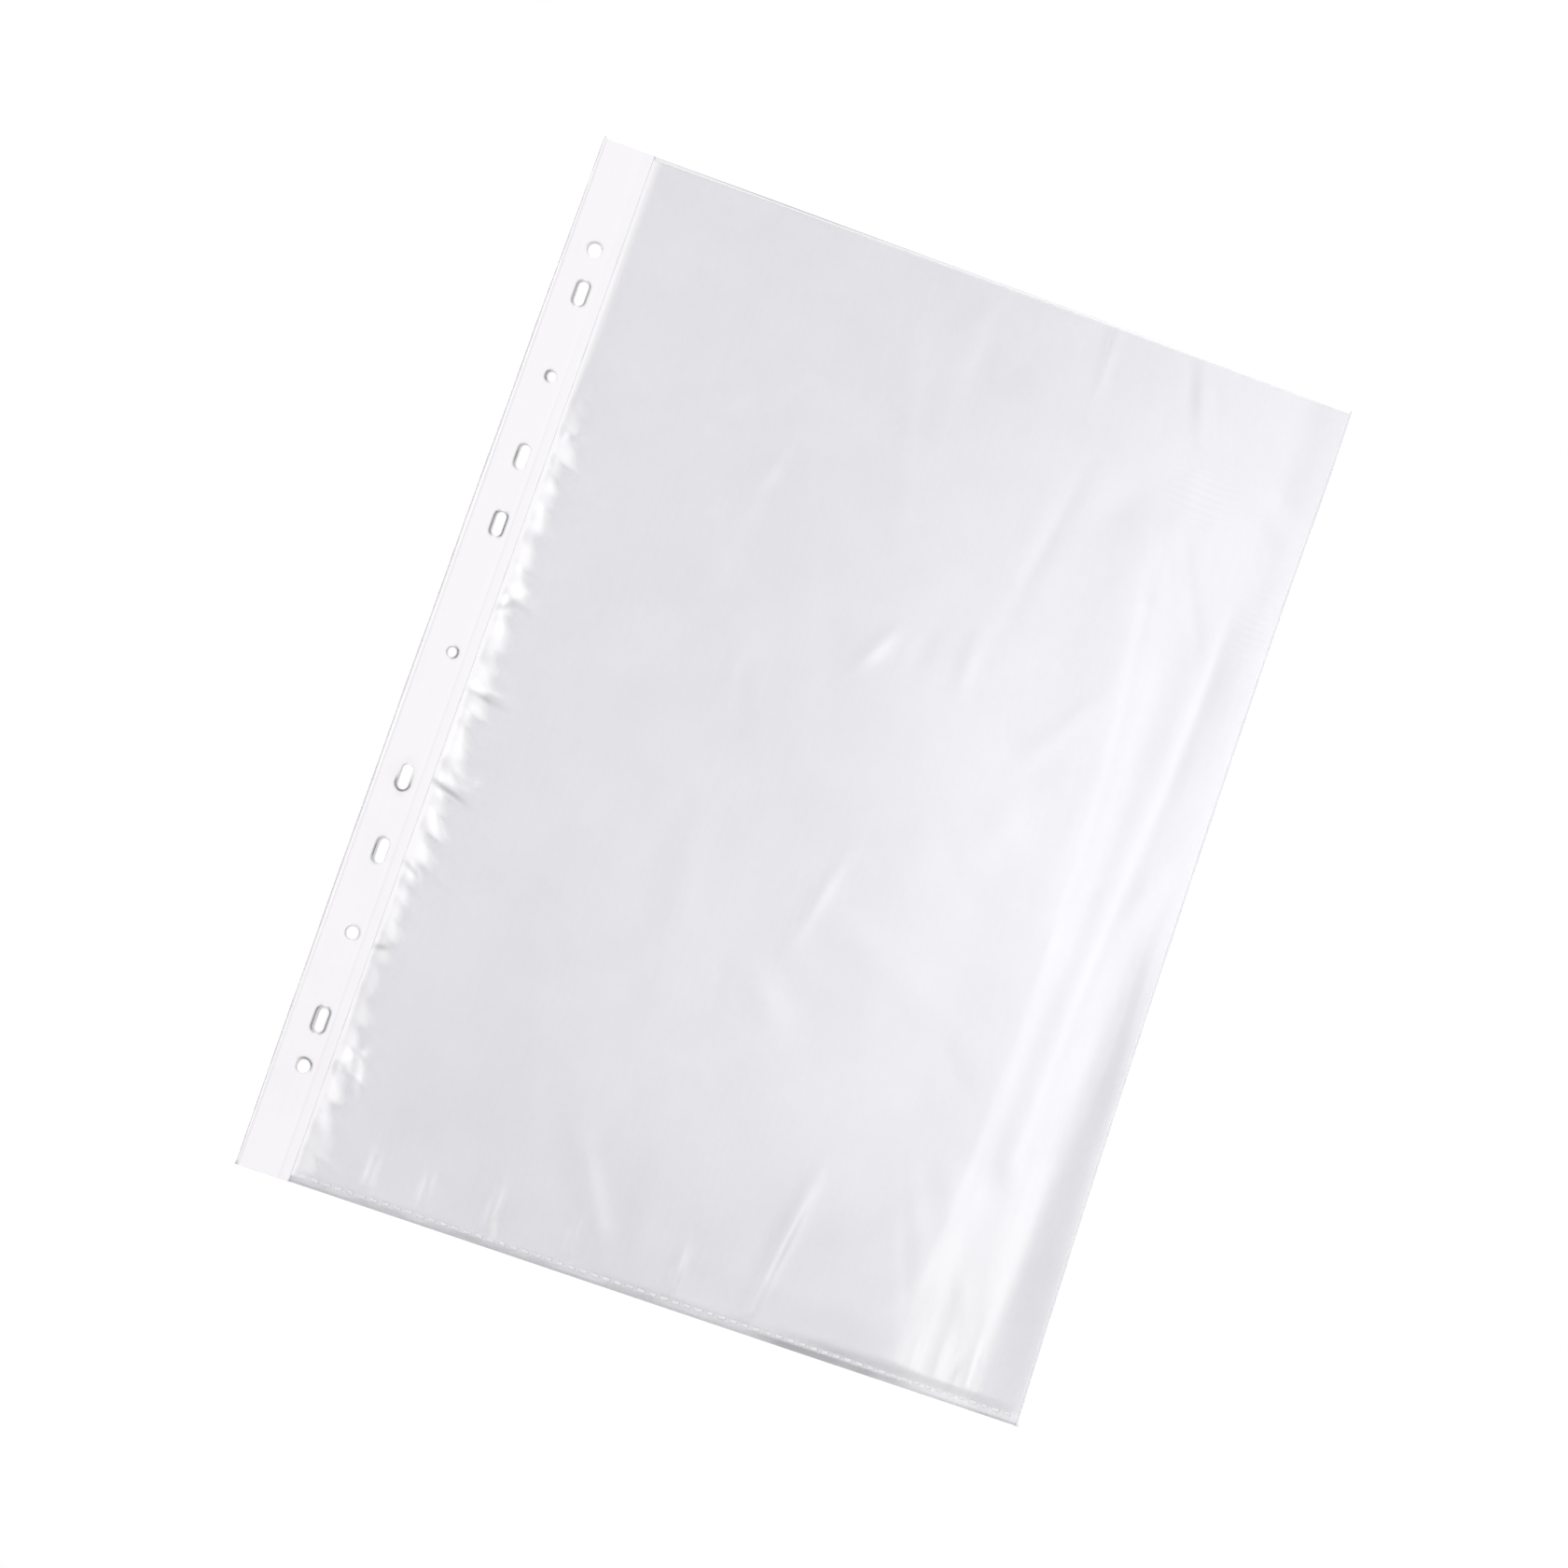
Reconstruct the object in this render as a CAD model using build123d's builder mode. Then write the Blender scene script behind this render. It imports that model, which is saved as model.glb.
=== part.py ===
"""Punched sheet protector: two clear films welded round three sides of a pocket, with a white filing strip.

Millimetres. X runs across the pocket, away from the filing strip. Y runs up to the open mouth. Z is up.
The origin is on the table, under the middle of the pocket as it lies flat.
"""

import os

from build123d import *

# Pocket, outside, lying flat
pocket_width = 227.0
pocket_height = 302.0

# Films: the back one stands higher at the mouth, so that a thumb can part the two lips
film_thickness = 0.11
lip_step = 1.0

# Filing strip between the margins of the two films
strip_width = 13.6
strip_thickness = 0.2
strip_border = 1.2

# Punching: round holes and slots for rings, on one line along the strip, mirrored about its middle
hole_line = 8.3
round_hole_diameter = 5.6
round_hole_offsets = (0.0, 82.0, 120.0)
slot_width = 5.6
slot_length = 9.6
slot_offsets = (38.0, 58.0, 107.0)
end_land = 12.0

# Welds: round beads along the sides, and a knurled row of dashes along the bottom
strip_weld_offset = 0.5
weld_clearance = 0.3
bottom_weld_height = 2.4
dash_length = 2.3
dash_width = 1.0
dash_pitch = 3.35
dash_clearance = 0.1

# Levels of the layers, from the table up
strip_level = film_thickness
front_level = strip_level + strip_thickness
stack_height = front_level + film_thickness
bead_radius = stack_height / 2

# Lines across the pocket, from the binding edge to the side opposite
binding_edge = -pocket_width / 2
strip_start = binding_edge + strip_border
strip_end = strip_start + strip_width
hinge_line = strip_end + strip_weld_offset + bead_radius
edge_bead_line = binding_edge + bead_radius
side_bead_line = pocket_width / 2 - bead_radius
margin_start = edge_bead_line + bead_radius
margin_end = hinge_line - bead_radius
panel_start = hinge_line + bead_radius + weld_clearance
panel_end = side_bead_line - bead_radius - weld_clearance
bottom_edge = -pocket_height / 2


def on_both_sides(offsets, half_hole):
    """Places along the strip for holes at these offsets from its middle, while each keeps its end land."""
    furthest = pocket_height / 2 - end_land - half_hole
    kept = [offset for offset in offsets if offset <= furthest]
    return sorted({side * offset for offset in kept for side in (-1, 1)})


dash_count = int((panel_end - panel_start) // dash_pitch)
dash_row = Location(((panel_start + panel_end) / 2, bottom_edge + bottom_weld_height))
round_places = [(binding_edge + hole_line, y) for y in on_both_sides(round_hole_offsets, round_hole_diameter / 2)]
slot_places = [(binding_edge + hole_line, y) for y in on_both_sides(slot_offsets, slot_length / 2)]


def punched_layer(start, end, level, thickness):
    """One layer of the binding edge, from the line start to the line end, with every ring hole through it."""
    with BuildPart() as layer:
        with BuildSketch(Plane.XY.offset(level)):
            with Locations(((start + end) / 2, 0)):
                Rectangle(end - start, pocket_height)
            with Locations(round_places):
                Circle(round_hole_diameter / 2, mode=Mode.SUBTRACT)
            with Locations(slot_places):
                SlotOverall(slot_length, slot_width, rotation=90, mode=Mode.SUBTRACT)
        extrude(amount=thickness)
    return layer.part


def film_panel(level, height):
    """One film of the pocket, standing on the bottom edge, melted through where the bottom weld's dashes are."""
    with BuildPart() as panel:
        with BuildSketch(Plane.XY.offset(level)):
            with Locations((panel_start, bottom_edge)):
                Rectangle(panel_end - panel_start, height, align=(Align.MIN, Align.MIN))
            with Locations(dash_row), GridLocations(dash_pitch, 0, dash_count, 1):
                Rectangle(dash_length + 2 * dash_clearance, dash_width + 2 * dash_clearance, mode=Mode.SUBTRACT)
        extrude(amount=film_thickness)
    return panel.part


def weld_bead(line):
    """A melted bead as thick as the whole stack, along the full height of the pocket."""
    with BuildPart() as bead:
        with BuildSketch(Plane.XZ):
            with Locations((line, bead_radius)):
                Circle(bead_radius)
        extrude(amount=pocket_height / 2, both=True)
    return bead.part


# Binding edge: the strip between two film margins, all punched in one stroke
filing_strip = punched_layer(strip_start, strip_end, strip_level, strip_thickness)
back_margin = punched_layer(margin_start, margin_end, 0, film_thickness)
front_margin = punched_layer(margin_start, margin_end, front_level, film_thickness)

# Beads: the cut outer edge, the weld beside the strip that the page turns on, and the far side
edge_weld = weld_bead(edge_bead_line)
strip_weld = weld_bead(hinge_line)
side_weld = weld_bead(side_bead_line)

# Pocket: the two films
back_film = film_panel(0, pocket_height)
front_film = film_panel(front_level, pocket_height - lip_step)

# Bottom weld: a row of short dashes, as a knurled sealing bar melts them through both films
with BuildPart() as bottom_dashes:
    with BuildSketch():
        with Locations(dash_row), GridLocations(dash_pitch, 0, dash_count, 1):
            Rectangle(dash_length, dash_width)
    extrude(amount=stack_height)
bottom_weld = bottom_dashes.part

pieces = {
    "filing_strip": filing_strip,
    "back_margin": back_margin,
    "front_margin": front_margin,
    "edge_weld": edge_weld,
    "strip_weld": strip_weld,
    "side_weld": side_weld,
    "back_film": back_film,
    "front_film": front_film,
    "bottom_weld": bottom_weld,
}

os.makedirs("parts", exist_ok=True)
for name, piece in pieces.items():
    piece.label = name
    export_step(piece, f"parts/{name}.step")
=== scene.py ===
import math
import random

import bmesh
import bpy
import numpy as np
from mathutils import Matrix, Vector


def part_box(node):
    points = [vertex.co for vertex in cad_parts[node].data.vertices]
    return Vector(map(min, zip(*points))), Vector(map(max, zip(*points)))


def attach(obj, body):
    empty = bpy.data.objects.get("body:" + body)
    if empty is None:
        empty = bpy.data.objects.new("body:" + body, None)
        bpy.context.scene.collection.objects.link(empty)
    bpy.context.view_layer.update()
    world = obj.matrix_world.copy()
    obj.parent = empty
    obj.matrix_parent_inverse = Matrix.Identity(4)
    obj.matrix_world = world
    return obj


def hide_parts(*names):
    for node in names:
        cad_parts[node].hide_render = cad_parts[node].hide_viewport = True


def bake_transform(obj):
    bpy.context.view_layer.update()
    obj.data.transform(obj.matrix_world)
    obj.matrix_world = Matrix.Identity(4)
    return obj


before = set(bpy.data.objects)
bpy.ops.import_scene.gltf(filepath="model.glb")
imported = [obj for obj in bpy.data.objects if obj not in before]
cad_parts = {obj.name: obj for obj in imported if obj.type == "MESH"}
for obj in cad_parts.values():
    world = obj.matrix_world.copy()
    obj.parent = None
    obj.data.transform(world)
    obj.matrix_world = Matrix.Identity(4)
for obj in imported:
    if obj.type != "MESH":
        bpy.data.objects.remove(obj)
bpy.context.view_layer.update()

# Back film: the pocket's back wall, a sheet of clear polypropylene cut a millimetre taller at the mouth.
# It lies on the table, and lifts beside the filing strip, which doesn't lie quite flat.
# Welds along both sides and the bottom join it to the front film.
mm = 0.001
film = 0.11 * mm
table_gap = 0.02 * mm
binding_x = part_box("edge_weld")[0].x
strip_low, strip_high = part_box("filing_strip")
hinge_x = (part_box("strip_weld")[0].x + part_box("strip_weld")[1].x) / 2
side_x = (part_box("side_weld")[0].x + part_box("side_weld")[1].x) / 2
middle_x = (hinge_x + side_x) / 2
bottom_y, mouth_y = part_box("back_film")[0].y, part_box("back_film")[1].y
lip_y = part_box("front_film")[1].y
# beside the strip the film is a band of its own
hinge_band = 15 * mm
band_x = hinge_x + hinge_band
grid_up = 0.5 * mm
side_draw = 1.5 * mm
# the strip's waves: middle and reach along it, and height, in millimetres
strip_waves = ((84, 46, 0.2), (8, 34, 0.3), (-56, 22, 0.4), (-105, 20, 0.6))
least_lift = 0.12


def mound(x, y, at_x, at_y, long, wide, turn):
    """A smooth mound, 1 high at its middle; its long way is turned by degrees from X. Sizes in mm."""
    c, s = math.cos(math.radians(turn)), math.sin(math.radians(turn))
    dx, dy = x / mm - at_x, y / mm - at_y
    return np.exp(-((dx * c + dy * s) / long) ** 2 - ((dy * c - dx * s) / wide) ** 2)


def ease(t):
    """A smooth step from 0 to 1 while t runs from 0 to 1."""
    t = np.clip(t, 0, 1)
    return t * t * (3 - 2 * t)


def strip_lift(y):
    """How far the filing strip stands off the table, along its length."""
    rise = least_lift + 0 * y
    for middle, reach, high in strip_waves:
        rise = rise + high * np.exp(-((y / mm - middle) / reach) ** 2)
    return rise * mm


def back_height(x, y):
    """The back film's height over the table: lifted along the strip, and nearly flat over the rest."""
    inside = np.maximum(x - hinge_x, 0)
    held = np.exp(-(inside / (17 * mm)) ** 2)
    ripple = 1 + np.sin(x / (23 * mm) + 1.1 * np.sin(y / (41 * mm)))
    wave = 0.12 * mm * ripple * ease(inside / (30 * mm)) * ease((side_x - x) / (14 * mm))
    return table_gap + strip_lift(y) * held + wave


def side_bow(y):
    """How far the far side draws in; most of all half way up."""
    return side_draw * (1 - (y / mouth_y) ** 2) * ease((mouth_y - y) / (60 * mm))


def mesh_object(name, shape):
    """An object of a bmesh, linked to the scene. The bmesh is freed."""
    mesh = bpy.data.meshes.new(name)
    shape.to_mesh(mesh)
    shape.free()
    made = bpy.data.objects.new(name, mesh)
    bpy.context.scene.collection.objects.link(made)
    return made


def points(piece):
    """The places of a piece's points, one in each row."""
    place = np.empty(len(piece.data.vertices) * 3)
    piece.data.vertices.foreach_get("co", place)
    return place.reshape(-1, 3)


def sheet_object(name, shape, height):
    """An object of a flat mesh, with its points raised to a height and normals that run on over its ends."""
    piece = mesh_object(name, shape)
    mesh = piece.data
    place = points(piece)
    x, y = place[:, 0], place[:, 1]
    place[:, 2] += height(x, y)
    near = 0.2 * mm
    slope_x = (height(x + near, y) - height(x - near, y)) / (2 * near)
    slope_y = (height(x, y + near) - height(x, y - near)) / (2 * near)
    normal = np.stack([-slope_x, -slope_y, np.ones_like(x)], 1)
    normal /= np.linalg.norm(normal, axis=1)[:, None]
    place[:, 0] -= side_bow(y) * np.clip((x - middle_x) / (side_x - middle_x), 0, 1) ** 2
    mesh.vertices.foreach_set("co", place.ravel())
    mesh.polygons.foreach_set("use_smooth", np.ones(len(mesh.polygons), bool))
    mesh.update()
    mesh.normals_split_custom_set_from_vertices(normal.tolist())
    return piece


def film_sheet(name, x0, x1, top_y, height, grid_across):
    """A film between two lines up the pocket, from its bottom edge to top_y, draped to a height."""
    shape = bmesh.new()
    across, up = round((x1 - x0) / grid_across), round((top_y - bottom_y) / grid_up)
    bmesh.ops.create_grid(shape, x_segments=across, y_segments=up, size=0.5)
    bmesh.ops.scale(shape, vec=(x1 - x0, top_y - bottom_y, 1), verts=shape.verts)
    bmesh.ops.translate(shape, vec=((x0 + x1) / 2, (bottom_y + top_y) / 2, 0), verts=shape.verts)
    return sheet_object(name, shape, height)


def paint(piece, name, value):
    """Keeps a value from 0 to 1 at each point of a piece, for its material to read."""
    mark = piece.data.attributes.new(name, "FLOAT", "POINT")
    mark.data.foreach_set("value", np.clip(value, 0, 1).astype(np.float32))


def paint_cut_edge(piece, mouth, keen, wide):
    """Darkens the film's cut edge at the mouth, most of all left of the middle."""
    x, y, _ = points(piece).T
    keen = keen * (0.3 + 0.7 * mound(x, y, -58, mouth / mm, 30, 40, 0))
    paint(piece, "cut_edge_and_shade", keen * ease((y - mouth) / wide + 1))


def hem_shade(x, y):
    """Painted shade along the film's hem by the bottom weld, in uneven spots and two darker patches, and a
    darker line where it is cut below.
    """
    foot = bottom_y / mm
    mottle = np.sin(x / (2.3 * mm)) * np.sin(x / (5.9 * mm)) + np.sin(x / (6.1 * mm) + 1)
    hem = 0.2 + 0.14 * mottle
    hem = hem + 0.3 * mound(x, y, -51, foot, 9, 40, 0) + 0.85 * mound(x, y, 57, foot, 19, 40, 0)
    hem = 0.12 + hem * ease((92 * mm - x) / (14 * mm))
    cut_and_shade = 0.64 * ease((bottom_y + 0.9 * mm - y) / (0.4 * mm))
    return np.maximum(hem * ease((bottom_y + 2.2 * mm - y) / (0.8 * mm)), cut_and_shade)


def paint_back(piece):
    """Marks the back film's cut edge, the painted shade along its hem, and its lip, which is white where it
    stands alone.
    """
    x, y, _ = points(piece).T
    paint_cut_edge(piece, mouth_y, keen=0.9, wide=0.4 * mm)
    # painted shade along the hem
    paint(piece, "crushed_and_shade", hem_shade(x, y))
    paint(piece, "milky_and_sheen", 0.8 * ease((y - lip_y) / (0.5 * mm)))


def node(tree, kind, place, **settings):
    """A shader node; a setting whose name starts with in_ is the value of that input."""
    made = tree.nodes.new(kind)
    made.location = place
    for key, value in settings.items():
        if key.startswith("in_"):
            made.inputs[key[3:].replace("_", " ")].default_value = value
        else:
            setattr(made, key, value)
    return made


def maths(tree, place, operation, *values):
    """The outcome of one operation; each value is a number or the output of another node."""
    made = node(tree, "ShaderNodeMath", place, operation=operation)
    for socket, value in zip(made.inputs, values):
        if isinstance(value, float):
            socket.default_value = value
        else:
            tree.links.new(value, socket)
    return made.outputs["Value"]


def span(tree, source, place, low, high, start=0.0, stop=1.0):
    """A value that runs from low to high while its source runs from start to stop."""
    made = node(tree, "ShaderNodeMapRange", place)
    for name, value in (("From Min", start), ("From Max", stop), ("To Min", low), ("To Max", high)):
        made.inputs[name].default_value = value
    tree.links.new(source, made.inputs["Value"])
    return made.outputs["Result"]


def blend_colour(tree, factor, place, first, second):
    """A colour between two, by a factor; each colour is a value or the output of another node."""
    made = node(tree, "ShaderNodeMix", place, data_type="RGBA")
    tree.links.new(factor, made.inputs["Factor"])
    for slot, colour in ((6, first), (7, second)):
        if isinstance(colour, tuple):
            made.inputs[slot].default_value = (*colour, 1)
        else:
            tree.links.new(colour, made.inputs[slot])
    return made.outputs[2]


def film_grain_group():
    """Haze clouds, streaks along the film and faint ribs across it, as values over the surface."""
    group = bpy.data.node_groups.new("film_grain", "ShaderNodeTree")
    for name in ("Clouds", "Streaks", "Height"):
        group.interface.new_socket(name, in_out="OUTPUT", socket_type="NodeSocketFloat")
    end = node(group, "NodeGroupOutput", (900, 0))
    place = node(group, "ShaderNodeTexCoord", (-700, 0))
    clouds = node(group, "ShaderNodeTexNoise", (-200, 300), in_Scale=45.0, in_Detail=5.0, in_Roughness=0.6)
    along = node(group, "ShaderNodeMapping", (-450, 0), in_Scale=(900.0, 26.0, 26.0))
    streaks = node(group, "ShaderNodeTexNoise", (-200, 0), in_Scale=1.0, in_Detail=3.0, in_Roughness=0.6)
    across = node(group, "ShaderNodeMapping", (-450, -300), in_Scale=(40.0, 700.0, 40.0))
    ribs = node(group, "ShaderNodeTexNoise", (-200, -300), in_Scale=1.0, in_Detail=2.0, in_Roughness=0.5)
    link = group.links.new
    link(place.outputs["Object"], clouds.inputs["Vector"])
    link(place.outputs["Object"], along.inputs["Vector"])
    link(along.outputs["Vector"], streaks.inputs["Vector"])
    link(place.outputs["Object"], across.inputs["Vector"])
    link(across.outputs["Vector"], ribs.inputs["Vector"])
    relief = maths(group, (200, -150), "MULTIPLY_ADD", ribs.outputs["Fac"], 0.5, streaks.outputs["Fac"])
    link(clouds.outputs["Fac"], end.inputs["Clouds"])
    link(streaks.outputs["Fac"], end.inputs["Streaks"])
    link(relief, end.inputs["Height"])
    return group


film_grain = film_grain_group()


def blank_material(name):
    """A new material, its node tree and its surface node."""
    material = bpy.data.materials.new(name)
    material.use_nodes = True
    return material, material.node_tree, material.node_tree.nodes["Principled BSDF"]


def film_material(name, haze, white, clear, rough, ior, cut_and_shade_colour):
    """Clear polypropylene film: hazy, softly glossy, milky where it is drawn and where highlights are
    painted on, grey where it is crushed and where shade is painted on, and dark at cut edges and in the
    painted shade at hole rims.
    """
    crushed_and_shade_grey = (0.33, 0.33, 0.36)
    material, tree, skin = blank_material(name)
    link = tree.links.new
    grain = node(tree, "ShaderNodeGroup", (-900, 0), node_tree=film_grain)
    clouds, streaks = grain.outputs["Clouds"], grain.outputs["Streaks"]
    milky_and_sheen, crushed_and_shade, cut_and_shade = (
        node(tree, "ShaderNodeAttribute", (-900, place_y), attribute_name=mark).outputs["Fac"]
        for mark, place_y in (("milky_and_sheen", -300), ("crushed_and_shade", -500), ("cut_edge_and_shade", -700))
    )
    # colour: painted highlights whiten it, painted shade greys it, and cut edges and the painted shade at
    # hole rims darken it
    pale = blend_colour(tree, clouds, (-600, 300), haze, tuple(0.94 * c for c in haze))
    whiter = span(tree, milky_and_sheen, (-600, 500), 0.0, 1.0, 0.0, 0.4)
    # drawn carries the film's whitening and the painted highlights, pressed the crushed grey and the painted
    # shade
    drawn = blend_colour(tree, whiter, (-400, 300), pale, white)
    pressed = blend_colour(tree, crushed_and_shade, (-200, 300), drawn, crushed_and_shade_grey)
    link(blend_colour(tree, cut_and_shade, (0, 300), pressed, cut_and_shade_colour), skin.inputs["Base Color"])
    # how dense the film is, denser where highlights and shade are painted on
    hazy = maths(tree, (-700, -100), "MULTIPLY_ADD", streaks, 0.25, clouds)
    plain_dense = span(tree, hazy, (-500, -100), 0.95 * clear, 1.05 * clear, 0.42, 0.82)
    milky_and_sheen_dense = maths(tree, (-300, -200), "MULTIPLY_ADD", milky_and_sheen, 0.6, plain_dense)
    crushed_and_shade_dense = span(tree, crushed_and_shade, (-600, -500), 0.0, 0.5)
    cut_and_shade_dense = span(tree, cut_and_shade, (-600, -700), 0.0, 0.95)
    marked_dense = maths(tree, (-300, -400), "MAXIMUM", crushed_and_shade_dense, cut_and_shade_dense)
    link(maths(tree, (-100, -300), "MAXIMUM", milky_and_sheen_dense, marked_dense), skin.inputs["Alpha"])
    # gloss and fine relief
    link(span(tree, streaks, (-200, 0), rough, rough + 0.03, 0.3, 0.7), skin.inputs["Roughness"])
    relief = node(tree, "ShaderNodeBump", (-200, -600), in_Strength=0.03, in_Distance=0.00006)
    link(grain.outputs["Height"], relief.inputs["Height"])
    link(relief.outputs["Normal"], skin.inputs["Normal"])
    skin.inputs["IOR"].default_value = ior
    return material


clear_film = film_material("clear_film", haze=(0.815, 0.803, 0.853), white=(0.96, 0.945, 0.965), clear=0.36,
                           rough=0.28, ior=2.0, cut_and_shade_colour=(0.25, 0.25, 0.28))


def dress(piece, material):
    """Gives a piece its one material."""
    piece.data.materials.clear()
    piece.data.materials.append(material)


back_wall = film_sheet("back_film_sheet", band_x, side_x, mouth_y, back_height, grid_across=2 * mm)
paint_back(back_wall)
dress(back_wall, clear_film)
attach(back_wall, "pocket")
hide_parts("back_film")

back_band = film_sheet("back_film_hinge", hinge_x, band_x, mouth_y, back_height, grid_across=1 * mm)
paint_back(back_band)
dress(back_band, clear_film)
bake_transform(back_band)
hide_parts("back_film")

# Back margin: the back film's edge under the filing strip, fused to it and punched with it.
# It reaches a little past the strip to the cut edge of the pocket.
hole_x = binding_x + 8.3 * mm
hole_half = 2.8 * mm
slot_stretch = 2.0 * mm
corner_count = 48
# places of the ring holes along the strip, from its middle, in millimetres
round_holes = (-120, -82, 0, 82, 120)
slots = (-107, -58, -38, 38, 58, 107)
bay = 2 * mm
snap = 0.01 * mm
border_inset = 0.2 * mm
border_sink = 0.55
seam_half = 0.6 * mm
weld_x = strip_high.x - 2 * mm


def edge_bow(y):
    """How far the film's border draws in towards the strip; it is widest half way up."""
    return (0.55 * (y / mouth_y) ** 2 + 0.05 * np.sin(y / (9 * mm))) * mm


def hole_loop(shape, y, radius, off_x=0.0, off_y=0.0):
    """The edge of one ring hole, round or a slot, which may sit off its place; all but y in metres."""
    verts = bmesh.ops.create_circle(shape, segments=corner_count, radius=radius)["verts"]
    for vert in verts:
        vert.co.y += math.copysign(slot_stretch if y in slots else 0, vert.co.y)
    bmesh.ops.translate(shape, vec=(hole_x + off_x, y * mm + off_y, 0), verts=verts)
    return list(dict.fromkeys(edge for vert in verts for edge in vert.link_edges))


def cut_across(shape, place, normal):
    """Cuts a flat layer's faces in two along a plane, and keeps both sides."""
    parts = shape.verts[:] + shape.edges[:] + shape.faces[:]
    bmesh.ops.bisect_plane(shape, geom=parts, dist=snap, plane_co=place, plane_no=normal)


def punched_sheet(x0, x1, lines, torn=None, rim=0.0):
    """A flat layer of the binding edge between two lines, with every ring hole, cut into short bays.
    Torn holes have places and half widths of their own, and a rim of faces."""
    shape = bmesh.new()
    bmesh.ops.create_grid(shape, x_segments=1, y_segments=1, size=0.5)
    bmesh.ops.scale(shape, vec=(x1 - x0, mouth_y - bottom_y, 1), verts=shape.verts)
    bmesh.ops.translate(shape, vec=((x0 + x1) / 2, (bottom_y + mouth_y) / 2, 0), verts=shape.verts)
    bmesh.ops.delete(shape, geom=shape.faces[:], context="FACES_ONLY")
    bounds = shape.edges[:]
    for y in round_holes + slots:
        if torn:
            off_x, off_y, radius = (value * mm for value in torn[y][:3])
            outer = hole_loop(shape, y, radius + rim, off_x, off_y)
            bmesh.ops.bridge_loops(shape, edges=outer + hole_loop(shape, y, radius, off_x, off_y))
            bounds += outer
        else:
            bounds += hole_loop(shape, y, hole_half)
    bmesh.ops.triangle_fill(shape, edges=bounds, use_beauty=True)
    for y in np.arange(bottom_y + bay, mouth_y - bay / 2, bay):
        cut_across(shape, (0, y, 0), (0, 1, 0))
    for x in lines:
        cut_across(shape, (x, 0, 0), (1, 0, 0))
    for face in shape.faces:
        if face.normal.z < 0:
            face.normal_flip()
    return shape


def droop(x):
    """The share of the strip's lift that the film keeps, which sinks outside the strip."""
    return border_sink + (1 - border_sink) * ease((x - binding_x) / (strip_low.x - binding_x))


def bow_in(shape):
    """Draws the film's outer edge in, as far as its border lets it."""
    for vert in shape.verts:
        share = np.clip((strip_low.x - vert.co.x) / (strip_low.x - binding_x), 0, 1)
        vert.co.x += share * edge_bow(vert.co.y)


def fused_and_painted_light(piece):
    """How far the films are fused to the strip and each other, which makes them as white as the strip.
    Beside the strip's inner edge the whitening is also painted light, which covers the strip's shadow there.
    The seam outside the strip is less so, and the inner edge is softer towards the mouth."""
    x, y, _ = points(piece).T
    soft = (0.9 + 1.4 * ease((y - 70 * mm) / (30 * mm))) * mm
    seam = 1 - 0.3 * ease(1 - np.abs(x - strip_low.x) / seam_half)
    return seam * np.exp(-(np.maximum(x - hinge_x, 0) / soft) ** 2)


def back_margin_height(x, y):
    """The back margin's height over the table: under the strip, and sunk outside it."""
    return table_gap + strip_lift(y) * droop(x)


# lines along the margins where their relief or colour turns: the strip's outer edge, the sealing bar's line
# and the strip's inner edge
margin_lines = (
    strip_low.x - seam_half, strip_low.x, strip_low.x + seam_half,
    weld_x - 0.5 * mm, weld_x, weld_x + 0.5 * mm,
    strip_high.x - 0.1 * mm, strip_high.x + 0.1 * mm,
)
strip_white = (0.885, 0.868, 0.89)
laminate = film_material("laminated_film", haze=strip_white, white=strip_white, clear=0.4, rough=0.3,
                         ior=1.5, cut_and_shade_colour=(0.07, 0.07, 0.08))
back_shape = punched_sheet(binding_x + border_inset, hinge_x, margin_lines)
bow_in(back_shape)
back_edge = sheet_object("back_film_margin", back_shape, back_margin_height)
paint(back_edge, "milky_and_sheen", fused_and_painted_light(back_edge))
dress(back_edge, laminate)
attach(back_edge, "binding")
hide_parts("back_margin")

# Filing strip: an opaque white polypropylene band laid between the margins of the two films.
# Five round holes and six slots are punched through it and the films in one stroke.
strip_thick = strip_high.z - strip_low.z
strip_bevel = 0.04 * mm
# angles between faces, in radians: of the corners that are bevelled, and up to which shading runs on
corner_angle = 1.0
smooth_angle = 0.6


def white_strip_material():
    """Satin white, drawn into faint lines along the strip."""
    material, tree, skin = blank_material("white_strip")
    link = tree.links.new
    place = node(tree, "ShaderNodeTexCoord", (-1100, 0))
    drawn = node(tree, "ShaderNodeMapping", (-900, 0), in_Scale=(1400.0, 30.0, 30.0))
    lines = node(tree, "ShaderNodeTexNoise", (-700, 0), in_Scale=1.0, in_Detail=3.0)
    mottle = node(tree, "ShaderNodeTexNoise", (-700, 300), in_Scale=90.0, in_Detail=3.0)
    link(place.outputs["Object"], drawn.inputs["Vector"])
    link(drawn.outputs["Vector"], lines.inputs["Vector"])
    link(place.outputs["Object"], mottle.inputs["Vector"])
    bright, dull = (0.965, 0.945, 0.965), (0.94, 0.925, 0.945)
    link(blend_colour(tree, mottle.outputs["Fac"], (-400, 300), bright, dull), skin.inputs["Base Color"])
    link(span(tree, lines.outputs["Fac"], (-400, 0), 0.4, 0.55, 0.3, 0.7), skin.inputs["Roughness"])
    relief = node(tree, "ShaderNodeBump", (-200, -200), in_Strength=0.15, in_Distance=0.00003)
    link(lines.outputs["Fac"], relief.inputs["Height"])
    link(relief.outputs["Normal"], skin.inputs["Normal"])
    return material


def is_corner(edge):
    """Whether an edge of the strip is a level corner, at its rim or a hole's."""
    level = abs(edge.verts[0].co.z - edge.verts[1].co.z) < 1e-7
    return level and len(edge.link_faces) == 2 and edge.calc_face_angle(0) > corner_angle


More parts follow.
